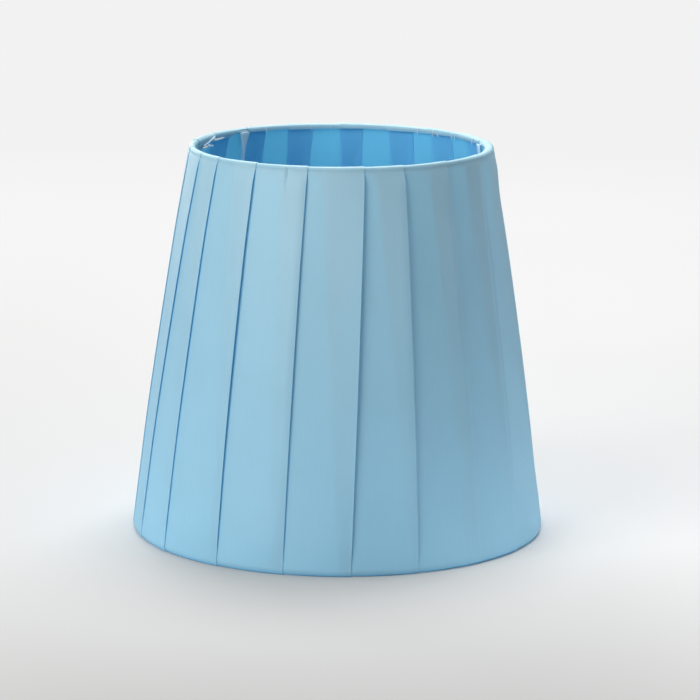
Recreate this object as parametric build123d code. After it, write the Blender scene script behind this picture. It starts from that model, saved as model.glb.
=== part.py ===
"""Small tapered lampshade for a candle lamp: satin ribbons stretched over a welded wire frame.

Millimetres. +Z is up, the origin is the centre of the circle that the shade stands on, and the front is -Y.
Azimuths are degrees from the front, growing towards +X.
"""

import os
from math import asin, atan, atan2, cos, degrees, hypot, pi, radians, sin

from build123d import *

# Overall size, over the ribbons
bottom_diameter = 140.0
top_diameter = 102.0
height = 130.0
side_bow = 1.2

# Ribbons: each one's right edge lies over the next one's left edge
ribbon_count = 19
ribbon_width = 26.0
ribbon_thickness = 0.25
layer_gap = 0.1
front_ribbon_azimuth = -4.7
# Degrees by which each ribbon lies off its even place, from the front one round to the right
ribbon_drift = [
    0.0, -2.3, -1.6, -1.5, -1.0, -0.5, 0.0, 0.3, 0.6, 1.5,
    2.9, 4.2, 4.4, 4.6, 4.7, 0.8, -3.5, -2.4, -1.1,
]

# Folded ends of the ribbons
fold_gap = 0.03
fold_return = 0.3
tab_spacing = 0.3

# Wire frame
ring_wire = 1.4
strut_wire = 1.6
first_strut_azimuth = -17.0
strut_places = ["front", "right", "back_left"]
weld_gap = 0.05
notch_gap = 0.2

# Fitter that drops over the lamp holder
fitter_bore = 29.0
collar_wall = 1.0
collar_height = 5.0
flange_width = 4.0
flange_thickness = 1.2
fitter_drop = 30.0
arm_wire = 2.0

# Where the ribbons lie
pitch = 360 / ribbon_count
azimuths = [
    front_ribbon_azimuth + index * pitch + ribbon_drift[index % len(ribbon_drift)]
    for index in range(ribbon_count)
]
steps = [(azimuths[(i + 1) % ribbon_count] - azimuths[i]) % 360 for i in range(ribbon_count)]

# A ribbon's radius grows towards its right edge: it is turned about an axis set off to the right
layer_step = ribbon_thickness + layer_gap
turn_offset = layer_step / sin(radians(min(steps)))
tab_shift = turn_offset * sin(radians(max(steps) / 2))
fold_inside = ring_wire / 2 + tab_shift + fold_gap
fold_outside = fold_inside + ribbon_thickness


def edge_lift(radius):
    """How far a ribbon's right edge stands out from its middle, at a radius."""
    return turn_offset * ribbon_width / (2 * radius)


# Rings: centre line radius and height
top_radius = top_diameter / 2 - fold_outside - edge_lift(top_diameter / 2)
bottom_radius = bottom_diameter / 2 - fold_outside - edge_lift(bottom_diameter / 2)
top_level = height - fold_outside
bottom_level = fold_outside

# Side: an arc that swells by side_bow over the straight line between the rings
side_length = hypot(bottom_radius - top_radius, top_level - bottom_level)
lean = atan2(bottom_radius - top_radius, top_level - bottom_level)
bend = 2 * atan(2 * side_bow / side_length)

# Struts run along the inside of the rings
strut_inset = (ring_wire / 2 + weld_gap + strut_wire / 2) / cos(lean)
strut_azimuths = [first_strut_azimuth + 360 / len(strut_places) * i for i in range(len(strut_places))]

# Fitter levels and radii
bore_radius = fitter_bore / 2
collar_radius = bore_radius + collar_wall
flange_radius = collar_radius + flange_width
flange_top = height - fitter_drop
arm_level = flange_top - flange_thickness - weld_gap - arm_wire / 2

# Reach of cutting tools, past everything, and the angle that they clear beside a folded end
far = bottom_diameter + height
free_angle = 60


def spot(radius, level, reach, angle):
    """Point at a reach and angle from a ring's centre line, in the plane of radius and height."""
    return Vector(radius + reach * cos(angle), 0, level + reach * sin(angle))


def strut_radius(level):
    """Radius of a strut's centre line at a height."""
    share = (level - bottom_level) / (top_level - bottom_level)
    return bottom_radius + (top_radius - bottom_radius) * share - strut_inset


def turned(azimuth, shape):
    """A shape that points along +X, turned to an azimuth."""
    return Rot(0, 0, azimuth - 90) * shape


def ribbon_line(reach):
    """Points of one face of a ribbon: bottom tip, bottom fold, side, top fold and top tip."""
    low = lean - bend
    high = lean + bend
    up_low = Vector(-sin(low), 0, cos(low))
    up_high = Vector(-sin(high), 0, cos(high))
    foot = [spot(bottom_radius, bottom_level, reach, low + turn) for turn in (pi, -pi / 2, 0)]
    head = [spot(top_radius, top_level, reach, high + turn) for turn in (0, pi / 2, pi)]
    middle_radius = (bottom_radius + top_radius) / 2
    middle_level = (bottom_level + top_level) / 2
    belly = spot(middle_radius, middle_level, reach + side_bow, lean)
    return foot[0] + up_low * fold_return, foot, belly, head, head[2] - up_high * fold_return


def line_edges(points):
    """Edges through the points of one face of a ribbon."""
    bottom_tip, foot, belly, head, top_tip = points
    return [
        Edge.make_line(bottom_tip, foot[0]),
        Edge.make_three_point_arc(*foot),
        Edge.make_three_point_arc(foot[2], belly, head[0]),
        Edge.make_three_point_arc(*head),
        Edge.make_line(head[2], top_tip),
    ]


def ribbon_section():
    """Section of a ribbon through its length, in the plane of radius and height."""
    outside = ribbon_line(fold_outside)
    inside = ribbon_line(fold_inside)
    tips = [Edge.make_line(outside[0], inside[0]), Edge.make_line(outside[4], inside[4])]
    return Face(Wire(line_edges(outside) + line_edges(inside) + tips))


def beside_tab(start, ring_radius, ring_level, wing_level, up):
    """What a folded end leaves free beside it: all beyond wing_level, and the return inside the ring."""
    end_level = ring_level + up * far
    tip_level = ring_level - up * (fold_return + ring_wire)
    corners = [
        (0, end_level), (far, end_level), (far, wing_level),
        (ring_radius, wing_level), (ring_radius, tip_level), (0, tip_level),
    ]
    plan = make_face(Plane.XZ * Polyline(*corners, close=True))
    return Rot(0, 0, start) * revolve(plan, axis=Axis.Z, revolution_arc=free_angle)


def tab_half_angle(step):
    """Half angle of a folded end on the side where the next ribbon is a step away."""
    return step / 2 - degrees(tab_spacing / 2 / top_radius)


def strut_line():
    """Foot and head of a strut that points along +X."""
    foot = Vector(strut_radius(bottom_level), 0, bottom_level)
    head = Vector(strut_radius(top_level), 0, top_level)
    return foot, head


def strut_notch():
    """Slot along a strut that the folded ends leave open."""
    foot, head = strut_line()
    along = Plane((foot + head) / 2, x_dir=(cos(lean), 0, sin(lean)), z_dir=head - foot)
    length = (head - foot).length + 2 * notch_gap
    return along * Box(2 * strut_inset, strut_wire + 2 * notch_gap, length)


def bare_ribbon():
    """Ribbon that points along +X, with folded ends over its whole width."""
    sweep = degrees(asin((ribbon_width / 2 + turn_offset) / (top_radius - fold_outside))) + 2
    axis = Axis((0, turn_offset, 0), (0, 0, 1))
    section = (Pos(0, turn_offset, 0) * ribbon_section()).rotate(axis, -sweep)
    return revolve(section, axis=axis, revolution_arc=2 * sweep) & Box(far, ribbon_width, 2 * far)


def ribbon(index, strip):
    """One ribbon in place, its folded ends cut to lie beside the next ones and round the struts."""
    left = -tab_half_angle(steps[index - 1]) - free_angle
    right = tab_half_angle(steps[index])
    clear_of_wire = ring_wire / 2 + fold_gap
    strip = strip - beside_tab(left, top_radius, top_level, top_level - clear_of_wire, 1)
    strip = strip - beside_tab(left, bottom_radius, bottom_level, bottom_level + clear_of_wire, -1)
    strip = strip - beside_tab(right, top_radius, top_level, top_level, 1)
    strip = strip - beside_tab(right, bottom_radius, bottom_level, bottom_level, -1)
    strip = turned(azimuths[index], strip)
    for azimuth in strut_azimuths:
        strip = strip - turned(azimuth, strut_notch())
    return strip


def ring(radius, level):
    """Ring of round wire."""
    return Pos(0, 0, level) * Torus(radius, ring_wire / 2)


def wire(start, end, diameter):
    """Straight length of round wire."""
    return Solid.make_cylinder(diameter / 2, (end - start).length, Plane(start, z_dir=end - start))


def strut(azimuth, diameter=strut_wire):
    """Upright that holds the rings apart."""
    return turned(azimuth, wire(*strut_line(), diameter))


def fitter_ring():
    """Collar with a flange at its top, pressed from sheet."""
    collar = Cylinder(collar_radius, collar_height, align=(Align.CENTER, Align.CENTER, Align.MAX))
    flange = Cylinder(flange_radius, flange_thickness, align=(Align.CENTER, Align.CENTER, Align.MAX))
    bore = Cylinder(bore_radius, 2 * collar_height + far)
    return Pos(0, 0, flange_top) * (collar + flange - bore)


def fitter_arm(azimuth):
    """Wire under the flange, from the collar out to a strut."""
    start = Vector(bore_radius, 0, arm_level)
    end = Vector(strut_radius(arm_level), 0, arm_level)
    arm = wire(start, end, arm_wire)
    arm = arm - Cylinder(collar_radius + weld_gap, far)
    return turned(azimuth, arm) - strut(azimuth, strut_wire + 2 * weld_gap)


def save(name, shape):
    """Write one piece to its own file."""
    solids = shape.solids()
    piece = solids[0] if len(solids) == 1 else Compound(solids)
    piece.label = name
    export_step(piece, f"parts/{name}.step")


def main():
    os.makedirs("parts", exist_ok=True)
    save("top_ring", ring(top_radius, top_level))
    save("bottom_ring", ring(bottom_radius, bottom_level))
    save("fitter_ring", fitter_ring())
    for place, azimuth in zip(strut_places, strut_azimuths):
        save(f"strut_{place}", strut(azimuth))
        save(f"fitter_arm_{place}", fitter_arm(azimuth))
    strip = bare_ribbon()
    for index in range(ribbon_count):
        save(f"ribbon_{index + 1:02d}", ribbon(index, strip))


main()
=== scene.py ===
"""Looks of a small candle lamp shade: satin ribbons stretched over a welded and lacquered wire frame.

Metres. +Z is up and the front is -Y, as in the frame. Azimuths are measured from the front and grow
towards +X. Seen from outside, each ribbon's right edge lies over the next ribbon's left edge.
"""

from functools import partialmethod
from math import atan2, cos, pi, radians, sin

import bpy
from bpy.props import FloatProperty, FloatVectorProperty, PointerProperty
from mathutils import Matrix, Vector


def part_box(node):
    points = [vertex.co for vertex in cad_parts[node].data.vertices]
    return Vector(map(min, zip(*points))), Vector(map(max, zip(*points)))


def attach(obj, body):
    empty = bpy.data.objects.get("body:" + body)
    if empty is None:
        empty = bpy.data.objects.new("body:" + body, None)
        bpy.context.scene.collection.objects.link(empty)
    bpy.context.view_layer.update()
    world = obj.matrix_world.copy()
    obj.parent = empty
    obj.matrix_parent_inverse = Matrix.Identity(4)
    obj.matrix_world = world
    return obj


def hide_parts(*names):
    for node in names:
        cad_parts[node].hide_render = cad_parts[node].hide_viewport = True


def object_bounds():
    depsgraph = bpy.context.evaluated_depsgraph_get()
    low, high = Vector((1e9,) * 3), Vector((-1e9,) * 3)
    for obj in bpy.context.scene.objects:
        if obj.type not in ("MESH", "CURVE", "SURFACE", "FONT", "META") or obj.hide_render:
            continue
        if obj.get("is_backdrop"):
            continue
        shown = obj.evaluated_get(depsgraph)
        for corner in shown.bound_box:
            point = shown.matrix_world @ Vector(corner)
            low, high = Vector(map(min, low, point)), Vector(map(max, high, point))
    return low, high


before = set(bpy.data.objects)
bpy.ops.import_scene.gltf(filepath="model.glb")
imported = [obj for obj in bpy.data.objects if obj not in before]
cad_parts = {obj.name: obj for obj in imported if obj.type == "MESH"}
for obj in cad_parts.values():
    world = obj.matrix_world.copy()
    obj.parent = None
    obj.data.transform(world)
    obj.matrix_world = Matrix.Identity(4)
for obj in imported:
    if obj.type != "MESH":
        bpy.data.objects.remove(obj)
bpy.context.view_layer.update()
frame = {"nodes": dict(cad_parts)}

bl_info = {
    "name": "Ribbon candle shade",
    "version": (1, 0, 0),
    "blender": (4, 5, 0),
    "location": "View3D > Sidebar > Shade",
    "description": "Satin ribbons over a lacquered wire frame",
    "category": "Add Mesh",
}

MM = 0.001
BLACK = (0.0, 0.0, 0.0, 1.0)
WHITE = (1.0, 1.0, 1.0, 1.0)
# Edges that turn by more than this are shaded sharp
SHARP_ANGLE = radians(50)
# Shares of the light that get through the satin's face and its back
FACE_LETS_THROUGH = 0.215
BACK_LETS_THROUGH = 0.36
# Room between a ring's wire and the ribbons folded round it
RING_GAP = 0.02 * MM
# Ribbon with a short crease under the top ring
CREASED = "ribbon_19"
RIBBONS = sorted(name for name in frame["nodes"] if name.startswith("ribbon_"))
STRUTS = sorted(name for name in frame["nodes"] if name.startswith("strut_"))
ARMS = sorted(name for name in frame["nodes"] if name.startswith("fitter_arm_"))
WIRES = ["top_ring", "bottom_ring", "fitter_ring", *ARMS]


def ring_size(node):
    """Centre line radius, height and wire radius of a ring of the frame."""
    low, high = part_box(node)
    wire_radius = (high.z - low.z) / 2
    return (high.x - low.x) / 2 - wire_radius, (high.z + low.z) / 2, wire_radius


TOP_RADIUS, TOP_LEVEL, WIRE_RADIUS = ring_size("top_ring")
BOTTOM_RADIUS, BOTTOM_LEVEL, _ = ring_size("bottom_ring")
LEAN = atan2(BOTTOM_RADIUS - TOP_RADIUS, TOP_LEVEL - BOTTOM_LEVEL)


def node_azimuth(node):
    """Azimuth of the middle of a node."""
    low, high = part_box(node)
    middle = (low + high) / 2
    return atan2(middle.x, -middle.y)


def ribbon_azimuth(node):
    """Azimuth of a ribbon's middle line: its two edges lie equally far to the left and right of it."""
    points = [vertex.co for vertex in frame["nodes"][node].data.vertices]
    azimuth = node_azimuth(node)
    for _ in range(4):
        across = [point.x * cos(azimuth) + point.y * sin(azimuth) for point in points]
        azimuth += (max(across) + min(across)) / 2 / BOTTOM_RADIUS
    return azimuth


def place(azimuth, radius, level):
    """Point at an azimuth, radius and height."""
    return Vector((radius * sin(azimuth), -radius * cos(azimuth), level))


class RibbonSettings(bpy.types.PropertyGroup):
    """Sizes and colours of the ribbons."""

    width: FloatProperty(name="Width", description="Width of a ribbon", default=26 * MM, unit="LENGTH")
    thickness: FloatProperty(
        name="Thickness", description="Thickness of a ribbon", default=0.14 * MM, unit="LENGTH", precision=5)
    lap_gap: FloatProperty(
        name="Lap gap", description="Room between two ribbons where they lie on each other",
        default=0.01 * MM, unit="LENGTH", precision=6)
    edge_lift: FloatProperty(
        name="Edge lift", description="How far a right edge stands off the next ribbon at half height",
        default=1.3 * MM, unit="LENGTH", precision=5)
    edge_curl: FloatProperty(
        name="Edge curl", description="How far the right edge turns back in at half height",
        default=1.0 * MM, unit="LENGTH", precision=5)
    curl_width: FloatProperty(
        name="Curl width", description="Width of the margin that turns back in",
        default=2.6 * MM, unit="LENGTH")
    corner_rise: FloatProperty(
        name="Corner rise", description="How far the corners between flat ribbons stand out from the round",
        default=0.4 * MM, unit="LENGTH", precision=5)
    bow: FloatProperty(
        name="Bow", description="Swell of the side at half height",
        default=0.5 * MM, unit="LENGTH", precision=5)
    tuck: FloatProperty(
        name="Tuck", description="Length of ribbon left inside past the half turn round a ring",
        default=0.3 * MM, unit="LENGTH", precision=5)
    tuck_share: FloatVectorProperty(
        name="Tuck share", description="Each ribbon's own share of the tuck at the top", size=19, default=(
            1.0, 1.4, 0.8, 1.2, 1.6, 0.9, 1.3, 1.0, 1.7, 1.1, 1.5, 0.8, 1.3, 4.0, 9.0, 3.0, 1.2, 0.9, 1.4))
    groove: FloatProperty(
        name="Groove", description="How far the ribbons draw in just under the top ring",
        default=0.2 * MM, unit="LENGTH", precision=5)
    hem_drop: FloatProperty(
        name="Hem drop", description="How far the bottom fold hangs below the ring's own round",
        default=0.85 * MM, unit="LENGTH", precision=5)
    rim_flare: FloatProperty(
        name="Rim flare", default=1.0 * MM, unit="LENGTH", precision=5,
        description="How far the top fold stands out at the right, where it was pulled less")
    crease_place: FloatProperty(
        name="Crease place", description="From the middle of the creased ribbon to its short crease",
        default=6.5 * MM, unit="LENGTH", precision=5)
    crease_depth: FloatProperty(
        name="Crease depth", description="Depth of the short crease under the top ring",
        default=0.45 * MM, unit="LENGTH", precision=5)
    unevenness: FloatProperty(
        name="Unevenness", description="Depth of the slow waves in the cloth",
        default=0.12 * MM, unit="LENGTH", precision=5)
    top_shift: FloatVectorProperty(
        name="Top shift", size=19,
        description="How far each ribbon is laid off its place at the top ring, in degrees", default=(
            -1.4, -3.0, -3.2, -1.3, -1.9, -1.6, -2.1, -1.4, -1.8, -2.3,
            -1.6, -2.0, -1.4, -2.2, -1.7, -0.5, -1.9, -2.5, -2.1))
    bottom_shift: FloatVectorProperty(
        name="Bottom shift", size=19,
        description="How far each ribbon is laid off its place at the bottom ring, in degrees", default=(
            -2.5, -0.6, 0.2, -1.8, -0.8, -1.3, -0.6, -1.2, -0.9, -1.5,
            -0.7, -1.1, -1.4, -0.8, -1.2, -2.4, -1.1, -0.3, -0.8))
    lift_share: FloatVectorProperty(
        name="Lift share", description="Each ribbon's own share of the edge lift", size=19, default=(
            1.1, 1.25, 1.0, 0.1, 1.0, 0.7, 1.0, 0.8, 1.0, 0.7, 1.1, 0.8, 1.0, 0.7, 0.2, 0.4, 0.48, 1.3, 1.1))
    curl_share: FloatVectorProperty(
        name="Curl share", description="Each ribbon's own share of the edge curl", size=19, default=(
            0.1, 0.4, 0.7, 0.5, 0.8, 0.3, 0.9, 0.5, 0.9, 0.4, 0.8, 0.3, 0.9, 0.4, 0.1, 0.1, 0.1, 0.8, 0.65))
    colour: FloatVectorProperty(
        name="Colour", description="Colour of the satin's face",
        subtype="COLOR", size=4, default=(0.34, 0.65, 0.84, 1.0))
    # Paler near the top: a painted sheen that stands for the gloss the overhead light puts on the upper part
    top_sheen_colour: FloatVectorProperty(
        name="Top sheen colour", description="Colour of the satin's face near the top, where it has bleached",
        subtype="COLOR", size=4, default=(0.42, 0.70, 0.84, 1.0))
    # Near white along the top fold: a painted highlight of the overhead light
    crest_highlight_colour: FloatVectorProperty(
        name="Crest highlight colour", description="Colour of the stretched threads along the top fold",
        subtype="COLOR", size=4, default=(0.66, 0.95, 1.0, 1.0))
    # Deeper blue in the gaps under the ribbons' edges and under the bottom fold: painted shade
    gap_shade_colour: FloatVectorProperty(
        name="Gap shade colour", description="Colour of the satin's face where another ribbon covers it",
        subtype="COLOR", size=4, default=(0.16, 0.55, 0.88, 1.0))
    back_colour: FloatVectorProperty(
        name="Back colour", description="Colour of the satin's matt back",
        subtype="COLOR", size=4, default=(0.22, 0.64, 0.97, 1.0))
    thread_colour: FloatVectorProperty(
        name="Thread colour", description="Colour of loose threads at the cut ends",
        subtype="COLOR", size=4, default=(0.70, 0.86, 0.96, 1.0))
    thread_length: FloatProperty(
        name="Thread length", description="Length of a loose thread",
        default=1.9 * MM, unit="LENGTH", precision=5)
    thread_radius: FloatProperty(
        name="Thread radius", description="Radius of a loose thread",
        default=0.15 * MM, unit="LENGTH", precision=5)
    glow: FloatVectorProperty(
        name="Glow", description="Colour of light that has come through the satin",
        subtype="COLOR", size=4, default=(0.44, 0.90, 1.0, 1.0))


class FrameSettings(bpy.types.PropertyGroup):
    """Finish of the wire frame."""

    # Pale blue: the lacquer's own pale colour, with a painted blue tint that stands for the light the satin
    # throws on the frame
    colour: FloatVectorProperty(
        name="Lacquer", description="Colour of the lacquer",
        subtype="COLOR", size=4, default=(0.56, 0.80, 0.97, 1.0))
    strut_radius: FloatProperty(
        name="Strut radius", description="Radius of a strut's wire",
        default=0.65 * MM, unit="LENGTH", precision=5)
    strut_inset: FloatProperty(
        name="Strut inset", description="From a ring's wire to a strut's centre line",
        default=0.85 * MM, unit="LENGTH", precision=5)
    head_drop: FloatProperty(
        name="Head drop", description="How far a strut ends below the middle of the top ring",
        default=0.1 * MM, unit="LENGTH", precision=5)
    spread: FloatProperty(
        name="Spread", description="How much wider a hammered end is, to each side",
        default=1.7 * MM, unit="LENGTH", precision=5)
    spread_length: FloatProperty(
        name="Spread length", description="Length of a hammered end", default=9 * MM, unit="LENGTH")
    bead_radius: FloatProperty(
        name="Bead radius", description="Radius of a weld bead",
        default=0.42 * MM, unit="LENGTH", precision=5)


class StageSettings(bpy.types.PropertyGroup):
    """Camera, floor and lights."""

    lens: FloatProperty(
        name="Lens", description="Focal length on a 36 mm sensor, in millimetres", default=176.07)
    distance: FloatProperty(
        name="Distance", description="From the camera to its aim point", default=1.1584, unit="LENGTH")
    elevation: FloatProperty(
        name="Elevation", description="Height of the camera as an angle", default=0.2082, subtype="ANGLE")
    aim_level: FloatProperty(
        name="Aim level", description="Height of the aim point on the axis", default=0.05955, unit="LENGTH")
    pan: FloatProperty(
        name="Pan", description="Turn of the camera to the side", default=0.0034, subtype="ANGLE")
    roll: FloatProperty(
        name="Roll", description="Turn of the camera about its own line of sight",
        default=0.0075, subtype="ANGLE")
    floor_colour: FloatVectorProperty(
        name="Floor", description="Colour of the floor",
        subtype="COLOR", size=4, default=(0.79, 0.79, 0.79, 1.0))
    key_power: FloatProperty(
        name="Key light", description="Power of the light at the front left", default=9.4, unit="POWER")
    top_power: FloatProperty(
        name="Top light", description="Power of the light overhead", default=13.5, unit="POWER")
    fill_power: FloatProperty(
        name="Fill light", description="Power of the light at the right", default=0.9, unit="POWER")
    back_power: FloatProperty(
        name="Back light", description="Power of the light at the back left", default=10.5, unit="POWER")
    ambient: FloatProperty(name="Ambient", description="Strength of the light from all round", default=0.35)


class ShadeSettings(bpy.types.PropertyGroup):
    """Everything that can be changed on the shade."""

    ribbons: PointerProperty(type=RibbonSettings)
    frame: PointerProperty(type=FrameSettings)
    stage: PointerProperty(type=StageSettings)


class Formula:
    """A number in a node tree, so that a rule can be written down as arithmetic."""

    def __init__(self, tree, socket):
        self.tree = tree
        self.socket = socket

    def math(self, operation, *others):
        """Result of a Math node on this number and others."""
        node = self.tree.nodes.new("ShaderNodeMath")
        node.operation = operation
        for socket, value in zip(node.inputs, (self, *others)):
            feed(self.tree, socket, value)
        return Formula(self.tree, node.outputs[0])

    __add__ = __radd__ = partialmethod(math, "ADD")
    __sub__ = partialmethod(math, "SUBTRACT")
    __mul__ = __rmul__ = partialmethod(math, "MULTIPLY")
    __truediv__ = partialmethod(math, "DIVIDE")
    sine = partialmethod(math, "SINE")
    cosine = partialmethod(math, "COSINE")
    root = partialmethod(math, "SQRT")
    least = partialmethod(math, "MINIMUM")
    most = partialmethod(math, "MAXIMUM")
    size = partialmethod(math, "ABSOLUTE")

    def __rsub__(self, other):
        return self * -1 + other

    def ramp(self, low, high):
        """0 up to low, 1 from high on, and smooth between them."""
        node = add_node(self.tree, "ShaderNodeMapRange", {
            "Value": self, "From Min": low, "From Max": high}, interpolation_type="SMOOTHSTEP")
        return Formula(self.tree, node.outputs["Result"])

    def straight_ramp(self, low, high):
        """0 up to low, 1 from high on, and straight between them."""
        return ((self - low) / (high - low)).least(1).most(0)

    def mix(self, start, end):
        """From start, where this number is 0, to end, where it is 1."""
        return start + (end - start) * self


def feed(tree, socket, value):
    """Give a socket a formula, another socket or a plain value."""
    if isinstance(value, Formula):
        tree.links.new(value.socket, socket)
    elif isinstance(value, bpy.types.NodeSocket):
        tree.links.new(value, socket)
    else:
        socket.default_value = value


def add_node(tree, kind, inputs=(), **settings):
    """New node with its settings and inputs."""
    node = tree.nodes.new(kind)
    for name, value in settings.items():
        setattr(node, name, value)
    for name, value in dict(inputs).items():
        feed(tree, node.inputs[name], value)
    return node


def axes(tree, vector):
    """The three numbers of a vector."""
    node = add_node(tree, "ShaderNodeSeparateXYZ", {"Vector": vector})
    return [Formula(tree, node.outputs[axis]) for axis in "XYZ"]


def joined(tree, **numbers):
    """Vector of the numbers given for X, Y and Z."""
    return add_node(tree, "ShaderNodeCombineXYZ", numbers).outputs[0]


def noise(tree, where, scale, detail):
    """Noise between 0 and 1 over a place."""
    node = add_node(tree, "ShaderNodeTexNoise", {"Vector": where, "Scale": scale, "Detail": detail})
    return Formula(tree, node.outputs["Fac"])


def new_tree(name, numbers):
    """Geometry tree that takes the seed's points and these numbers, and the numbers as formulas."""
    tree = bpy.data.node_groups.new(name, "GeometryNodeTree")
    tree.interface.new_socket("Geometry", in_out="OUTPUT", socket_type="NodeSocketGeometry")
    tree.interface.new_socket("Points", in_out="INPUT", socket_type="NodeSocketGeometry")
    for number in numbers:
        tree.interface.new_socket(number, in_out="INPUT", socket_type="NodeSocketFloat")
    source = tree.nodes.new("NodeGroupInput")
    return tree, {number: Formula(tree, source.outputs[number]) for number in numbers}


def seed_points(tree):
    """Socket with the points of a tree's seed."""
    return tree.nodes.new("NodeGroupInput").outputs["Points"]


def point_place(tree):
    """Socket with the place of each point in a geometry tree."""
    return tree.nodes.new("GeometryNodeInputPosition").outputs[0]


def unit_grid(tree, columns, rows):
    """Grid of one by one, and places of its points across and up from its middle."""
    grid = add_node(tree, "GeometryNodeMeshGrid", {
        "Size X": 1.0, "Size Y": 1.0, "Vertices X": columns, "Vertices Y": rows})
    across, up, _ = axes(tree, point_place(tree))
    return grid.outputs["Mesh"], across, up


def store(tree, geometry, name, value, data_type="FLOAT", domain="POINT"):
    """Geometry with an attribute that its material reads."""
    node = add_node(tree, "GeometryNodeStoreNamedAttribute", {
        "Geometry": geometry, "Name": name, "Value": value}, data_type=data_type, domain=domain)
    return node.outputs[0]


def close_tree(tree, geometry, material):
    """End a geometry tree: smooth faces, no instances, one material."""
    smooth = add_node(tree, "GeometryNodeSetShadeSmooth", {"Geometry": geometry})
    real = add_node(tree, "GeometryNodeRealizeInstances", {"Geometry": smooth.outputs[0]})
    dressed = add_node(tree, "GeometryNodeSetMaterial", {"Geometry": real.outputs[0], "Material": material})
    add_node(tree, "NodeGroupOutput", {"Geometry": dressed.outputs[0]})


def named_settings(settings, numbers):
    """The settings that go by the names of these numbers."""
    return {number: getattr(settings, number.lower().replace(" ", "_")) for number in numbers}


def grown_mesh(name, tree, numbers, materials, thickness=0.0, points=()):
    """Plain mesh that a geometry tree gives for these numbers and points.

    Where a thickness is given, a wall grows inwards, with the first material outside and the last one
    inside. A tree leaves an empty slot before its own material, so the seed has one too, and it comes out
    at the end.
    """
    seed = bpy.data.objects.new(name + "_seed", bpy.data.meshes.new(name + "_seed"))
    seed.data.from_pydata(points, [], [])
    for material in (None, *materials):
        seed.data.materials.append(material)
    bpy.context.scene.collection.objects.link(seed)
    modifier = seed.modifiers.new("Shape", "NODES")
    modifier.node_group = tree
    items = tree.interface.items_tree
    identifiers = {item.name: item.identifier for item in items if item.in_out == "INPUT"}
    for number, value in numbers.items():
        modifier[identifiers[number]] = float(value)
    if thickness:
        wall = seed.modifiers.new("Wall", "SOLIDIFY")
        wall.thickness = thickness
        wall.offset = -1
        wall.material_offset = len(materials) - 1
    graph = bpy.context.evaluated_depsgraph_get()
    mesh = bpy.data.meshes.new_from_object(seed.evaluated_get(graph))
    bpy.data.objects.remove(seed)
    if not mesh.polygons:
        raise RuntimeError(f"the tree {tree.name} gave no faces for {name}")
    mesh.name = name
    mesh.materials.pop(index=0)
    for material in materials[len(mesh.materials):]:
        mesh.materials.append(material)
    mesh.set_sharp_from_angle(angle=SHARP_ANGLE)
    return mesh


def add_piece(name, mesh, nodes=()):
    """Finished piece that rides on the shade and stands for nodes of the frame."""
    piece = bpy.data.objects.new(name, mesh)
    bpy.context.scene.collection.objects.link(piece)
    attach(piece, "root")
    if nodes:
        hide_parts(*nodes)
    return piece


def new_material(name):
    """Empty material and its node tree."""
    material = bpy.data.materials.new(name)
    material.use_nodes = True
    material.node_tree.nodes.clear()
    return material, material.node_tree


def finished(material, shader):
    """The material, with a shader node of its tree on its surface."""
    add_node(material.node_tree, "ShaderNodeOutputMaterial", {"Surface": shader.outputs[0]})
    return material


def object_place(tree):
    """Socket with the place on the piece, for a material."""
    return tree.nodes.new("ShaderNodeTexCoord").outputs["Object"]


def attribute(tree, name):
    """A number that the piece keeps at its points, for a material."""
    return Formula(tree, add_node(tree, "ShaderNodeAttribute", attribute_name=name).outputs["Fac"])


def colour_mix(tree, share, first, second):
    """Colour between two others. Its sockets go by number, as those of other types share their names."""
    node = add_node(tree, "ShaderNodeMix", {"Factor": share}, data_type="RGBA")
    feed(tree, node.inputs[6], first)
    feed(tree, node.inputs[7], second)
    return node.outputs[2]


def shader_mix(tree, share, first, second):
    """Shader node between two others."""
    node = add_node(tree, "ShaderNodeMixShader", {"Fac": share})
    tree.links.new(first.outputs[0], node.inputs[1])
    tree.links.new(second.outputs[0], node.inputs[2])
    return node


def scaled(colour, share):
    """A colour scaled by a share."""
    return tuple(channel * share for channel in colour[:3]) + (1.0,)


# Streaks and floats of the warp, across and along, and ribs of the weft, in one width of ribbon
STREAKS = 60, 2.5
FLOATS = 180, 28
RIBS = 110
# How much the tone changes darken the satin, how far selvedges turn pale, and how far painted light makes
# backed margins paler
TONE_DEPTH = 0.16
SELVEDGE_PALENESS = 0.06
BACKED_PAINTED_LIGHT = 0.11


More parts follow.
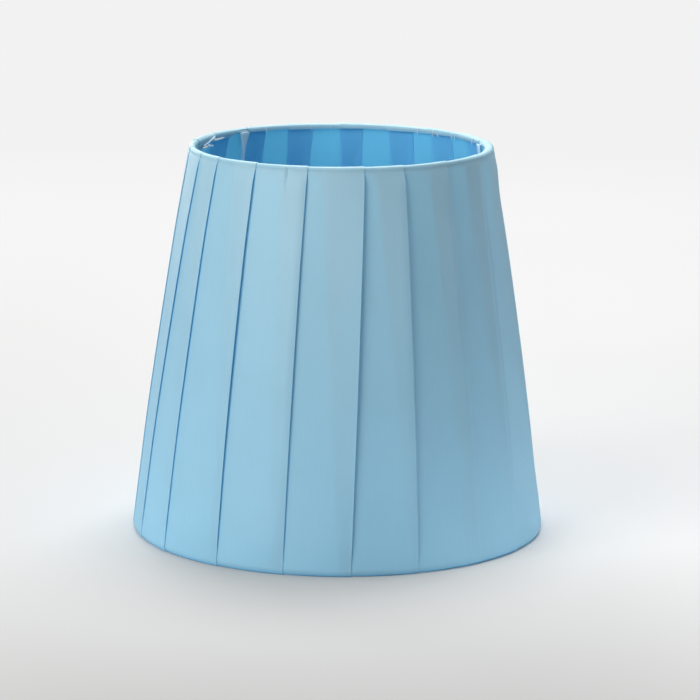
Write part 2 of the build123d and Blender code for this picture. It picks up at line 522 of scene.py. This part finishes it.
def satin_material(name, colours, glow, let_through, roughness, gloss):
    """Woven satin: fine crosswise ribs, gloss along the warp, and light that comes through.

    Its colours are those at the bottom; at the top, paler with a painted sheen of the overhead light; along
    the top fold, a painted highlight; and in the gaps where another ribbon covers it and under the bottom
    fold, painted shade. The selvedges turn a little towards the colour of the top fold, and so, as painted
    light, do margins with another ribbon behind them.
    """
    material, tree = new_material(name)
    colour, top_sheen_colour, crest_highlight_colour, gap_shade_colour = colours
    across, along, _ = axes(tree, add_node(tree, "ShaderNodeUVMap", uv_map="weave").outputs[0])
    where = object_place(tree)
    level = axes(tree, where)[2]

    # Streaks along the warp and slow tone changes
    streak = noise(tree, joined(tree, X=across * STREAKS[0], Y=along * STREAKS[1]), 1.0, 3.0)
    cloud = noise(tree, where, 55.0, 2.0)
    tone = streak * 0.5 + cloud * 0.5
    # Paler towards the top: painted sheen of the overhead light
    face = colour_mix(tree, level.straight_ramp(BOTTOM_LEVEL, TOP_LEVEL), colour, top_sheen_colour)
    face = colour_mix(tree, tone * TONE_DEPTH, face, BLACK)
    selvedge = (across - 0.5).size().ramp(0.478, 0.486)
    face = colour_mix(tree, selvedge * SELVEDGE_PALENESS, face, crest_highlight_colour)
    # Painted light: margins with another ribbon behind them turn paler
    face = colour_mix(tree, attribute(tree, "backed") * BACKED_PAINTED_LIGHT, face, crest_highlight_colour)
    # Painted highlight along the top fold
    face = colour_mix(tree, attribute(tree, "crest"), face, crest_highlight_colour)
    # Painted shade in the gaps under the ribbons' edges and under the bottom fold
    face = colour_mix(tree, attribute(tree, "covered"), face, gap_shade_colour)

    # Crosswise ribs of the weft and the floats of the warp over them
    rib = (along * (2 * pi * RIBS)).sine()
    floats = noise(tree, joined(tree, X=across * FLOATS[0], Y=along * FLOATS[1]), 1.0, 1.0)
    relief = rib * 0.25 + floats + tone * 0.6 + selvedge * 0.3
    bump = add_node(tree, "ShaderNodeBump", {"Height": relief, "Strength": 0.12, "Distance": 0.15 * MM})

    warp = add_node(tree, "ShaderNodeTangent", direction_type="UV_MAP", uv_map="weave")
    cloth = add_node(tree, "ShaderNodeBsdfPrincipled", {
        "Base Color": face, "Roughness": roughness, "Specular IOR Level": gloss, "Anisotropic": 0.75,
        "Normal": bump.outputs[0], "Tangent": warp.outputs[0]})
    through = add_node(tree, "ShaderNodeBsdfTranslucent", {"Color": glow, "Normal": bump.outputs[0]})
    return finished(material, shader_mix(tree, let_through, cloth, through))


def lacquer_material(settings):
    """Dipped lacquer on steel wire, uneven in its runs and a little darker in patches, with a painted blue
    tint that stands for the light the satin throws on it.
    """
    material, tree = new_material("pale lacquer")
    where = object_place(tree)
    runs = noise(tree, where, 260.0, 3.0)
    aged = [channel * share for channel, share in zip(settings.colour, (0.88, 0.86, 0.80, 1.0))]
    tone = colour_mix(tree, noise(tree, where, 60.0, 2.0).ramp(0.35, 0.7), settings.colour, aged)
    bump = add_node(tree, "ShaderNodeBump", {"Height": runs, "Strength": 0.25, "Distance": 0.1 * MM})
    coat = add_node(tree, "ShaderNodeBsdfPrincipled", {
        "Base Color": tone, "Roughness": runs * 0.2 + 0.52, "Normal": bump.outputs[0]})
    return finished(material, coat)


# Points of a ribbon's grid across and along it, the share of its rows in each fold, and how much closer
# the rows between the folds lie towards them
RIBBON_COLUMNS = 53
RIBBON_ROWS = 121
FOLD_ROWS = 0.16
ROW_CROWDING = 0.7
# Degrees beside a strut from which the folds are whole, and within which they are shortest
WHOLE_FROM = 3.4
SHORT_WITHIN = 1.5
# Inputs of the ribbon tree that are settings, and those that are worked out
RIBBON_SETTINGS = (
    "Width", "Curl width", "Corner rise", "Bow", "Groove", "Hem drop", "Rim flare", "Crease depth",
    "Unevenness",
)
RIBBON_PLACES = tuple(
    f"{end} {name}" for end in ("Bottom", "Top")
    for name in ("azimuth", "step", "left step", "right step", "radius", "level", "tuck")
) + (
    "Lean", "Edge lift", "Left edge lift", "Edge curl", "Left edge curl", "Lap", "Turn offset", "Snug",
    "Crease azimuth", "Strut azimuth",
)


def ribbon_tree(material):
    """One ribbon: a strip folded round both rings, round where it lies on them and flat between them.

    The strip's outer face is made. Its columns run from the left edge to the right, its rows from the
    inside of the bottom ring, round it, up the side and round the top ring.
    """
    tree, number = new_tree("Satin ribbon", RIBBON_SETTINGS + RIBBON_PLACES)
    strip, column, row = unit_grid(tree, RIBBON_COLUMNS, RIBBON_ROWS)
    width = number["Width"]
    snug = number["Snug"]
    across = column * width
    share = row + 0.5

    # Rows go to the bottom fold, the side and the top fold in turn
    folded_up = share.straight_ramp(0, FOLD_ROWS)
    height = share.straight_ramp(FOLD_ROWS, 1 - FOLD_ROWS)
    height = height - (height * (2 * pi)).sine() * (ROW_CROWDING / (2 * pi))
    folded_in = share.straight_ramp(1 - FOLD_ROWS, 1)

    def at_height(name):
        """A number that goes from its bottom value to its top value up the side."""
        return height.mix(number["Bottom " + name], number["Top " + name])

    # Where the strip lies round the shade at this height
    radius = at_height("radius")
    ring_level = at_height("level")
    azimuth = at_height("azimuth") + across / radius
    step = at_height("step")
    swell = (height * pi).sine()
    loose = height.ramp(0, 0.07) * height.ramp(1, 0.955) * (swell * 0.5 + 0.5) * (height * 0.6 + 0.7)
    flatness = height.ramp(0, 0.34) * height.ramp(1, 0.78)

    def strip_rise(across, step, lift, curl):
        """How far a strip stands out from the round of the rings, which it follows at its ends only."""
        from_middle = across - (width - step * radius) * 0.5
        bare_share = from_middle / (step * radius) + 0.5
        lifted = lift * loose
        in_margin = across.straight_ramp(width * 0.5 - number["Curl width"], width * 0.5)
        turned_in = in_margin * in_margin * curl * loose
        round_rise = (across / radius).sine() * number["Turn offset"]
        round_rise = round_rise + bare_share.most(0) * bare_share.most(0) * lifted
        corner = radius + number["Corner rise"] + (number["Lap"] + lifted) * bare_share
        flat_rise = corner * (step * 0.5).cosine() / (from_middle / radius).cosine() - radius
        return flatness.mix(round_rise, flat_rise) - turned_in

    # Never through the ribbon on its left, which lies over it
    left_rise = strip_rise(
        across + step * radius, at_height("left step"), number["Left edge lift"], number["Left edge curl"])
    own_rise = strip_rise(across, step, number["Edge lift"], number["Edge curl"])
    stand_out = own_rise.math("SMOOTH_MIN", left_rise - number["Lap"], 0.08 * MM)

    # Slow waves, the same in all the layers at one spot
    wave_place = joined(tree, X=azimuth.sine() * 3.2, Y=azimuth.cosine() * 3.2, Z=height * 3.0)
    waviness = (noise(tree, wave_place, 1.0, 1.0) - 0.5) * number["Unevenness"] * swell
    reach = snug + stand_out + waviness + height * (1 - height) * number["Bow"] * 4

    # The short crease, and the groove under the top ring
    off_crease = ((azimuth - number["Crease azimuth"]) * 0.5).sine().size() * radius * 2
    creased = off_crease.ramp(0.9 * MM, 0.0) * height.ramp(0.92, 0.985) * folded_in.ramp(0.12, 0.0)
    reach = reach - creased * number["Crease depth"]
    reach = reach - height.ramp(0.988, 0.9945) * height.ramp(1.0, 0.9955) * number["Groove"]

    # The folds stop up to a radian short round the struts, which lie evenly round the shade
    count = len(STRUTS)
    near_strut = ((azimuth - number["Strut azimuth"]) * count).cosine()
    at_strut = near_strut.ramp(cos(radians(count * WHOLE_FROM)), cos(radians(count * SHORT_WITHIN)))
    half_turn = pi - at_strut
    bottom_turn = (1 - folded_up) * (half_turn + number["Bottom tuck"] * (1 - at_strut) / snug)
    top_turn = folded_in * (half_turn + number["Top tuck"] * (1 - at_strut) / snug)
    bottom_tuck = (bottom_turn - half_turn).most(0) * snug
    top_tuck = (top_turn - half_turn).most(0) * snug

    # Place of each point
    facing = number["Lean"] - bottom_turn.least(half_turn) + top_turn.least(half_turn)
    lean_side = number["Lean"].sine() * (bottom_tuck - top_tuck)
    lean_up = number["Lean"].cosine() * (bottom_tuck - top_tuck)
    flare = azimuth.sine().ramp(0.72, 1.0) * height.ramp(0.86, 1.0) * number["Rim flare"]
    out = radius + reach * facing.cosine() - lean_side + flare * (facing.cosine() * 0.5 + 0.5)
    hem = (facing.sine() * -1).most(0) * number["Hem drop"]
    level = ring_level + reach * facing.sine() + lean_up - hem

    # What the satin reads: its weave, a painted highlight along the top fold, painted shade in the gaps and
    # under the bottom fold, and painted light on margins over another ribbon
    lengthwise = ring_level + (top_turn - bottom_turn) * snug
    weave = joined(tree, X=across / width + 0.5, Y=lengthwise / width)
    strip = store(tree, strip, "weave", weave, "FLOAT2", "CORNER")
    # Painted highlight along the top fold, reaching further round the fold on ribbons with long tucks
    return_turn = number["Top tuck"] / snug
    crest = top_turn.ramp(radians(28), radians(60))
    crest = crest * top_turn.ramp(return_turn + radians(120), return_turn + radians(96))
    strip = store(tree, strip, "crest", crest)
    # Painted shade: the face under the edge of the ribbon on its left, half a millimetre past that edge, and
    # under the bottom fold
    past_edge = across + step * radius - width * 0.5
    covered = past_edge.ramp(0.5 * MM, -0.3 * MM) * top_turn.ramp(radians(15), 0.0)
    covered = covered.most(bottom_turn.ramp(radians(20), radians(60)) * 0.6)
    strip = store(tree, strip, "covered", covered)
    # Painted light on the upper part of the margin that lies over the next ribbon
    past_next = across + width * 0.5 - at_height("right step") * radius
    backed = past_next.ramp(-0.4 * MM, 0.4 * MM) * height.ramp(0.45, 0.95)
    strip = store(tree, strip, "backed", backed)

    spot = joined(tree, X=out * azimuth.sine(), Y=out * azimuth.cosine() * -1, Z=level)
    moved = add_node(tree, "GeometryNodeSetPosition", {"Geometry": strip, "Position": spot})
    close_tree(tree, moved.outputs[0], material)
    return tree


def ribbon_layout(settings):
    """For the bottom and the top: azimuths of the ribbons, and their steps from the ribbon on the left."""
    middles = [ribbon_azimuth(node) for node in RIBBONS]
    layout = {}
    for end, shifts in (("Bottom", settings.bottom_shift), ("Top", settings.top_shift)):
        azimuths = [middle + radians(shift) for middle, shift in zip(middles, shifts)]
        steps = [(azimuths[i] - azimuths[i - 1]) % (2 * pi) for i in range(len(azimuths))]
        layout[end] = azimuths, steps
    return layout


def fold_sizes(settings, layout):
    """Offset of a ribbon's own round from the axis, so that its right edge clears the next ribbon.

    And the distance from a ring's centre line to the outside of the ribbons folded round it.
    """
    least_step = min(min(steps) for _, steps in layout.values())
    turn_offset = (settings.thickness + settings.lap_gap) / sin(least_step)
    edge_room = turn_offset * sin(settings.width / (2 * TOP_RADIUS))
    return turn_offset, WIRE_RADIUS + edge_room + settings.thickness + RING_GAP


class SHADE_OT_ribbons(bpy.types.Operator):
    """Stretch the satin ribbons over the rings"""

    bl_idname = "shade.ribbons"
    bl_label = "Ribbons"

    def execute(self, context):
        settings = context.scene.shade.ribbons
        face_colours = settings.colour, settings.top_sheen_colour, settings.crest_highlight_colour, settings.gap_shade_colour
        face = satin_material(
            "pale blue satin", face_colours, settings.glow, FACE_LETS_THROUGH, roughness=0.45, gloss=0.6)
        back = satin_material(
            "satin back", [settings.back_colour] * len(face_colours), settings.glow, BACK_LETS_THROUGH,
            roughness=0.7, gloss=0.12)
        tree = ribbon_tree(face)
        layout = ribbon_layout(settings)
        turn_offset, snug = fold_sizes(settings, layout)
        top_azimuths, _ = layout["Top"]
        shared = named_settings(settings, RIBBON_SETTINGS) | {
            "Bottom radius": BOTTOM_RADIUS, "Bottom level": BOTTOM_LEVEL, "Bottom tuck": settings.tuck,
            "Top radius": TOP_RADIUS, "Top level": TOP_LEVEL, "Lean": LEAN,
            "Lap": settings.thickness + settings.lap_gap, "Turn offset": turn_offset, "Snug": snug,
            "Crease azimuth": top_azimuths[RIBBONS.index(CREASED)] + settings.crease_place / TOP_RADIUS,
            "Strut azimuth": node_azimuth("strut_front"),
        }
        for i, node in enumerate(RIBBONS):
            own = {"Top tuck": settings.tuck * settings.tuck_share[i]}
            for edge, index in (("Edge", i), ("Left edge", i - 1)):
                own[f"{edge} lift"] = settings.edge_lift * settings.lift_share[index]
                own[f"{edge} curl"] = settings.edge_curl * settings.curl_share[index]
            for end, (azimuths, steps) in layout.items():
                own[f"{end} azimuth"] = azimuths[i]
                own[f"{end} step"] = steps[i]
                own[f"{end} left step"] = steps[i - 1]
                own[f"{end} right step"] = steps[(i + 1) % len(RIBBONS)]
            mesh = grown_mesh(f"satin_{node}", tree, shared | own, [face, back], settings.thickness)
            piece = add_piece(f"satin_{node}", mesh, [node])
        return {"FINISHED"}


# Points of a strut's grid round and along it
STRUT_COLUMNS = 17
STRUT_ROWS = 81
# Inputs of the strut tree that are settings, and those that are worked out
STRUT_SETTINGS = ("Strut radius", "Spread", "Spread length")
STRUT_PLACES = ("Azimuth", "Foot radius", "Foot level", "Head radius", "Head level")


def strut_tree(material):
    """One strut: round wire whose two ends are hammered flat and wide to lie against the rings."""
    tree, number = new_tree("Strut", STRUT_SETTINGS + STRUT_PLACES)
    wire, column, row = unit_grid(tree, STRUT_COLUMNS, STRUT_ROWS)
    turn = (0.5 - column) * (2 * pi)

    # Rows lie closer towards the ends
    along = (row + 0.5).ramp(0, 1)
    length = number["Head level"] - number["Foot level"]
    to_end = along.least(1 - along) * length
    flat_share = to_end.straight_ramp(number["Spread length"], 0)
    flat_share = flat_share * flat_share
    near_tip = (to_end / number["Strut radius"]).least(1)
    tip = (near_tip * (2 - near_tip)).root()
    half_width = (number["Strut radius"] + number["Spread"] * flat_share) * tip
    half_depth = number["Strut radius"] * (1 - flat_share * 0.4) * tip

    aside = turn.cosine() * half_width
    out = along.mix(number["Foot radius"], number["Head radius"]) + turn.sine() * half_depth
    sine = number["Azimuth"].sine()
    cosine = number["Azimuth"].cosine()
    spot = joined(
        tree, X=out * sine + aside * cosine, Y=aside * sine - out * cosine,
        Z=along.mix(number["Foot level"], number["Head level"]))
    moved = add_node(tree, "GeometryNodeSetPosition", {"Geometry": wire, "Position": spot})
    closed = add_node(tree, "GeometryNodeMergeByDistance", {
        "Geometry": moved.outputs[0], "Distance": 0.002 * MM})
    close_tree(tree, closed.outputs[0], material)
    return tree


def bead_tree(material):
    """Weld beads: a small uneven lump at each point."""
    tree, number = new_tree("Weld bead", ("Bead radius",))
    ball = add_node(tree, "GeometryNodeMeshIcoSphere", {"Radius": number["Bead radius"], "Subdivisions": 2})
    spot = point_place(tree)
    lump = add_node(tree, "ShaderNodeVectorMath", {
        "Vector": spot, "Scale": noise(tree, spot, 900.0, 1.0) * 0.7 - 0.35}, operation="SCALE")
    lumpy = add_node(tree, "GeometryNodeSetPosition", {
        "Geometry": ball.outputs["Mesh"], "Offset": lump.outputs[0]})
    turned = add_node(tree, "FunctionNodeRandomValue", {
        "Seed": 4, "Max": [2 * pi] * 3}, data_type="FLOAT_VECTOR")
    beads = add_node(tree, "GeometryNodeInstanceOnPoints", {
        "Points": seed_points(tree), "Instance": lumpy.outputs[0], "Rotation": turned.outputs["Value"]})
    close_tree(tree, beads.outputs[0], material)
    return tree


def weld_points():
    """Points where the struts meet the rings, and the arms meet the struts and the collar."""
    points = []
    for node in STRUTS:
        azimuth = node_azimuth(node)
        points.append(place(azimuth, TOP_RADIUS - WIRE_RADIUS, TOP_LEVEL - WIRE_RADIUS))
        points.append(place(azimuth, BOTTOM_RADIUS - WIRE_RADIUS, BOTTOM_LEVEL + WIRE_RADIUS))
    for node in ARMS:
        corners = [vertex.co for vertex in frame["nodes"][node].data.vertices]
        reaches = [corner.xy.length for corner in corners]
        level = sum(corner.z for corner in corners) / len(corners)
        points += [place(node_azimuth(node), reach, level) for reach in (max(reaches), min(reaches))]
    return points


class SHADE_OT_frame(bpy.types.Operator):
    """Lacquer the wire frame, with its hammered struts and weld beads"""

    bl_idname = "shade.frame"
    bl_label = "Wire frame"

    def execute(self, context):
        settings = context.scene.shade.frame
        material = lacquer_material(settings)
        for node in WIRES:
            mesh = frame["nodes"][node].data
            mesh.materials.clear()
            mesh.materials.append(material)
        tree = strut_tree(material)
        inset = (WIRE_RADIUS + settings.strut_inset) / cos(LEAN)
        for node in STRUTS:
            numbers = named_settings(settings, STRUT_SETTINGS) | {
                "Azimuth": node_azimuth(node),
                "Foot radius": BOTTOM_RADIUS - inset, "Foot level": BOTTOM_LEVEL,
                "Head radius": TOP_RADIUS - inset, "Head level": TOP_LEVEL - settings.head_drop,
            }
            mesh = grown_mesh(f"lacquered_{node}", tree, numbers, [material])
            add_piece(f"lacquered_{node}", mesh, [node])
        numbers = named_settings(settings, ("Bead radius",))
        beads = grown_mesh("weld_beads", bead_tree(material), numbers, [material], points=weld_points())
        add_piece("weld_beads", beads)
        return {"FINISHED"}


def thread_material(colour):
    """Fine loose thread, darker in the turns of its twist."""
    material, tree = new_material("loose thread")
    twist = noise(tree, object_place(tree), 2500.0, 2.0)
    tone = colour_mix(tree, twist, scaled(colour, 0.85), colour)
    fibre = add_node(tree, "ShaderNodeBsdfPrincipled", {"Base Color": tone, "Roughness": 0.6})
    return finished(material, fibre)


# Inputs of the thread tree, and its curve's ends and handle to the side and up, as shares of its length
THREAD_SETTINGS = ("Thread length", "Thread radius")
THREAD_LINE = {"Start": (0.0, 0.35), "Middle": (0.12, -0.2), "End": (-0.1, -0.65)}


def thread_tree(material):
    """Short loose threads at the seed's points, on the inside of a fold, each hanging its own way."""
    tree, number = new_tree("Loose threads", THREAD_SETTINGS)
    line = add_node(tree, "GeometryNodeCurveQuadraticBezier", {"Resolution": 8})
    for name, (side, rise) in THREAD_LINE.items():
        spot = joined(tree, X=number["Thread length"] * side, Z=number["Thread length"] * rise)
        tree.links.new(spot, line.inputs[name])
    round_wire = add_node(tree, "GeometryNodeCurvePrimitiveCircle", {
        "Resolution": 6, "Radius": number["Thread radius"]})
    fibre = add_node(tree, "GeometryNodeCurveToMesh", {
        "Curve": line.outputs[0], "Profile Curve": round_wire.outputs[0], "Fill Caps": True})
    side, depth, _ = axes(tree, point_place(tree))
    facing = depth.math("ARCTAN2", side) + pi / 2
    sway = add_node(tree, "FunctionNodeRandomValue", {"Seed": 7}, data_type="FLOAT")
    lean_aside = Formula(tree, sway.outputs[1]) * 0.7 - 0.35
    size = add_node(tree, "FunctionNodeRandomValue", {"Seed": 11}, data_type="FLOAT")
    scale = Formula(tree, size.outputs[1]) * 0.5 + 0.7
    threads = add_node(tree, "GeometryNodeInstanceOnPoints", {
        "Points": seed_points(tree), "Instance": fibre.outputs[0],
        "Rotation": joined(tree, Y=lean_aside, Z=facing), "Scale": scale})
    close_tree(tree, threads.outputs[0], material)
    return tree


def strand_mesh(name, strands, material):
    """Mesh of thin strands: for each its radius, and points of a smooth line that thins out at its end."""
    curve = bpy.data.curves.new(name, "CURVE")
    curve.dimensions = "3D"
    curve.bevel_depth = 1.0
    curve.bevel_resolution = 2
    curve.use_fill_caps = True
    for radius, points in strands:
        spline = curve.splines.new("NURBS")
        spline.points.add(len(points) - 1)
        for index, point in enumerate(points):
            spline.points[index].co = (*point, 1.0)
            spline.points[index].radius = radius * (1.0 - 0.4 * index / (len(points) - 1))
        spline.order_u = 3
        spline.use_endpoint_u = True
        spline.resolution_u = 6
    holder = bpy.data.objects.new(name, curve)
    bpy.context.scene.collection.objects.link(holder)
    graph = bpy.context.evaluated_depsgraph_get()
    mesh = bpy.data.meshes.new_from_object(holder.evaluated_get(graph))
    bpy.data.objects.remove(holder)
    mesh.materials.clear()
    mesh.materials.append(material)
    for polygon in mesh.polygons:
        polygon.use_smooth = True
    return mesh


# Frayed threads of one ribbon end inside the top ring: radius of each strand in millimetres, and along it
# azimuth in degrees and millimetres above the ring's centre line
FRAYED_STRANDS = (
    (0.38, ((-117.8, -0.2), (-115.0, -0.9), (-112.0, -1.5), (-109.5, -1.8), (-107.0, -2.0))),
    (0.52, ((-115.8, -0.8), (-117.8, -1.3), (-120.7, -1.25), (-124.2, -1.15))),
    (0.62, ((-110.5, -2.3), (-113.5, -2.8), (-116.2, -3.0))),
    (0.62, ((-110.0, -2.6), (-107.9, -2.8), (-105.9, -2.7))),
)
# Azimuths in degrees of single loose threads on the inside of the top fold
LOOSE_AZIMUTHS = (
    -148.0, -168.0, 146.0, 138.5, 136.3, 127.5, 125.5, -176.0, 112.0, 84.0, 61.0, 58.5, 33.0, 12.0, -9.0,
    -28.0, -31.0, -52.0, -74.0, -88.0,
)


class SHADE_OT_threads(bpy.types.Operator):
    """Fray the cut ends of the ribbons inside the top ring"""

    bl_idname = "shade.threads"
    bl_label = "Loose threads"

    def execute(self, context):
        settings = context.scene.shade.ribbons
        material = thread_material(settings.thread_colour)
        _, snug = fold_sizes(settings, ribbon_layout(settings))
        inside = TOP_RADIUS - snug - settings.thread_radius

        def fold_spot(azimuth, rise=0.0):
            """Point on the inside of the top fold, from degrees and millimetres above the ring."""
            return place(radians(azimuth), inside, TOP_LEVEL + rise * MM)

        loose = grown_mesh(
            "loose_threads", thread_tree(material), named_settings(settings, THREAD_SETTINGS), [material],
            points=[fold_spot(azimuth) for azimuth in LOOSE_AZIMUTHS])
        add_piece("loose_threads", loose)
        strands = [(radius * MM, [fold_spot(*spot) for spot in route]) for radius, route in FRAYED_STRANDS]
        frayed = strand_mesh("frayed_threads", strands, material)
        add_piece("frayed_threads", frayed)
        return {"FINISHED"}


# Lights by the names of their powers: azimuth and elevation in degrees, distance and size in metres, colour
LIGHTS = {
    "key": (-46, 20, 1.2, 0.8, (1.0, 0.97, 0.92)),
    "top": (166, 71, 1.4, 0.7, (1.0, 1.0, 1.0)),
    "fill": (112, 7, 1.3, 0.8, (0.6, 0.85, 1.0)),
    "back": (-156, 9, 1.3, 0.8, (1.0, 1.0, 1.0)),
}
# Brightness of the world and colour of the far floor, as they are seen
WORLD_SEEN = 0.9
FAR_FLOOR = (0.89, 0.89, 0.89, 1.0)
FLOOR_RADIUS = 4.0
FLOOR_CORNERS = 64


def seen_rays(tree):
    """1 for rays that show the background: from the camera, off gloss and through glass."""
    path = tree.nodes.new("ShaderNodeLightPath").outputs
    seen = Formula(tree, path["Is Camera Ray"])
    return seen.most(path["Is Glossy Ray"]).most(path["Is Transmission Ray"])


def floor_material(settings):
    """Plain pale floor that takes the shade's shadow and is evenly pale far away.

    It has painted tones of its own for the light that it throws on the shade.
    """
    material, tree = new_material("pale floor")
    side, depth, _ = axes(tree, object_place(tree))
    radius = (side * side + depth * depth).root()
    seen = seen_rays(tree)

    def tone(share):
        """The floor's colour scaled by a share."""
        return scaled(settings.floor_colour, share)

    # As it is seen: painted shade, darker at the left, in front and behind at the right
    near = colour_mix(tree, side.ramp(-0.16, 0.16), tone(0.83), tone(1.0))
    in_front = depth.ramp(0.0, -0.31) * depth.ramp(-0.6, -0.34) * side.size().ramp(0.26, 0.04)
    near = colour_mix(tree, in_front * 0.35, near, BLACK)
    behind_right = side.ramp(0.0, 0.1) * depth.ramp(0.12, 0.28) * depth.ramp(0.75, 0.5)
    near = colour_mix(tree, behind_right * 0.08, near, BLACK)

    # As it lights the shade: painted light and shade, paler under it and at the left, brighter than white at
    # the right, and dark far off
    to_right = (side / radius).most(0)
    to_left = (side / radius * -1).most(0)
    thrown_back = to_left.ramp(0.4, 1.0) + radius.ramp(0.075, 0.06)
    bounced = colour_mix(tree, thrown_back.least(1), tone(0.75), tone(1.28))
    at_right = to_right.ramp(0.1, 0.75) * radius.ramp(0.06, 0.075)
    bounced = colour_mix(tree, at_right, bounced, tone(2.1))
    bounced = colour_mix(tree, radius.ramp(0.11, 0.24), bounced, tone(0.35))

    matt = add_node(tree, "ShaderNodeBsdfDiffuse", {"Color": colour_mix(tree, seen, bounced, near)})
    even = add_node(tree, "ShaderNodeEmission", {"Color": FAR_FLOOR, "Strength": 1.0})
    return finished(material, shader_mix(tree, radius.ramp(0.2, 0.9) * seen, matt, even))


class SHADE_OT_stage(bpy.types.Operator):
    """Set up the floor, the lights and the camera"""

    bl_idname = "shade.stage"
    bl_label = "Stage"

    def execute(self, context):
        settings = context.scene.shade.stage
        self.add_floor(context, settings)
        self.add_lights(context, settings)
        self.add_camera(context, settings)
        context.scene.view_settings.view_transform = "Standard"
        return {"FINISHED"}

    def add_floor(self, context, settings):
        """Round floor just under the ribbons' folds."""
        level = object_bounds()[0][2]
        mesh = bpy.data.meshes.new("floor")
        rim = [place(2 * pi * i / FLOOR_CORNERS, FLOOR_RADIUS, level) for i in range(FLOOR_CORNERS)]
        mesh.from_pydata(rim, [], [list(range(FLOOR_CORNERS))])
        mesh.materials.append(floor_material(settings))
        floor = bpy.data.objects.new("floor", mesh)
        context.scene.collection.objects.link(floor)
        floor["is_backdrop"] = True

    def add_lights(self, context, settings):
        """Square soft lights that look at the middle of the shade, and light from all round."""
        target = Vector((0, 0, (TOP_LEVEL + BOTTOM_LEVEL) / 2))
        for name, (azimuth, elevation, distance, size, colour) in LIGHTS.items():
            light = bpy.data.lights.new(f"{name}_light", "AREA")
            light.shape = "SQUARE"
            light.size = size
            light.energy = getattr(settings, f"{name}_power")
            light.color = colour
            lamp = bpy.data.objects.new(light.name, light)
            context.scene.collection.objects.link(lamp)
            rise = radians(elevation)
            lamp.location = target + place(radians(azimuth), distance * cos(rise), distance * sin(rise))
            lamp.rotation_euler = (lamp.location - target).to_track_quat("Z", "Y").to_euler()
        world = bpy.data.worlds.new("studio")
        world.use_nodes = True
        tree = world.node_tree
        tree.nodes.clear()
        strength = seen_rays(tree).mix(settings.ambient, WORLD_SEEN)
        background = add_node(tree, "ShaderNodeBackground", {"Color": WHITE, "Strength": strength})
        add_node(tree, "ShaderNodeOutputWorld", {"Surface": background.outputs[0]})
        context.scene.world = world

    def add_camera(self, context, settings):
        """Camera in front of the shade and a little above it."""
        data = bpy.data.cameras.new("camera")
        data.sensor_width = 36
        data.lens = settings.lens
        data.clip_end = 20
        camera = bpy.data.objects.new("camera", data)
        context.scene.collection.objects.link(camera)
        distance, elevation = settings.distance, settings.elevation
        aim = Vector((0, 0, settings.aim_level))
        eye = aim + place(0, distance * cos(elevation), distance * sin(elevation))
        pan = Matrix.Rotation(-settings.pan, 3, "Z")
        forward = pan @ (aim - eye).normalized()
        level_right = pan @ Vector((1, 0, 0))
        level_up = level_right.cross(forward)
        right = cos(settings.roll) * level_right + sin(settings.roll) * level_up
        up = cos(settings.roll) * level_up - sin(settings.roll) * level_right
        turn = Matrix((right, up, -forward)).transposed().to_4x4()
        camera.matrix_world = Matrix.Translation(eye) @ turn
        context.scene.camera = camera


class SHADE_PT_panel(bpy.types.Panel):
    """Lists the steps that dress the shade"""

    bl_idname = "SHADE_PT_panel"
    bl_label = "Ribbon candle shade"
    bl_space_type = "VIEW_3D"
    bl_region_type = "UI"
    bl_category = "Shade"

    def draw(self, context):
        settings = context.scene.shade
        for operator, group in STEPS:
            self.layout.operator(operator.bl_idname)
            if group:
                chosen = getattr(settings, group)
                for name in chosen.__annotations__:
                    self.layout.prop(chosen, name)


# Operators in the order that they run, each with its group of settings
STEPS = (
    (SHADE_OT_ribbons, "ribbons"),
    (SHADE_OT_threads, None),
    (SHADE_OT_frame, "frame"),
    (SHADE_OT_stage, "stage"),
)
CLASSES = (RibbonSettings, FrameSettings, StageSettings, ShadeSettings, SHADE_PT_panel) + tuple(
    operator for operator, _ in STEPS)


def register():
    for item in CLASSES:
        bpy.utils.register_class(item)
    bpy.types.Scene.shade = PointerProperty(type=ShadeSettings)


def unregister():
    del bpy.types.Scene.shade
    for item in reversed(CLASSES):
        bpy.utils.unregister_class(item)


def main():
    register()
    bpy.ops.shade.ribbons()
    bpy.ops.shade.threads()
    bpy.ops.shade.frame()
    bpy.ops.shade.stage()


if __name__ == "__main__":
    main()
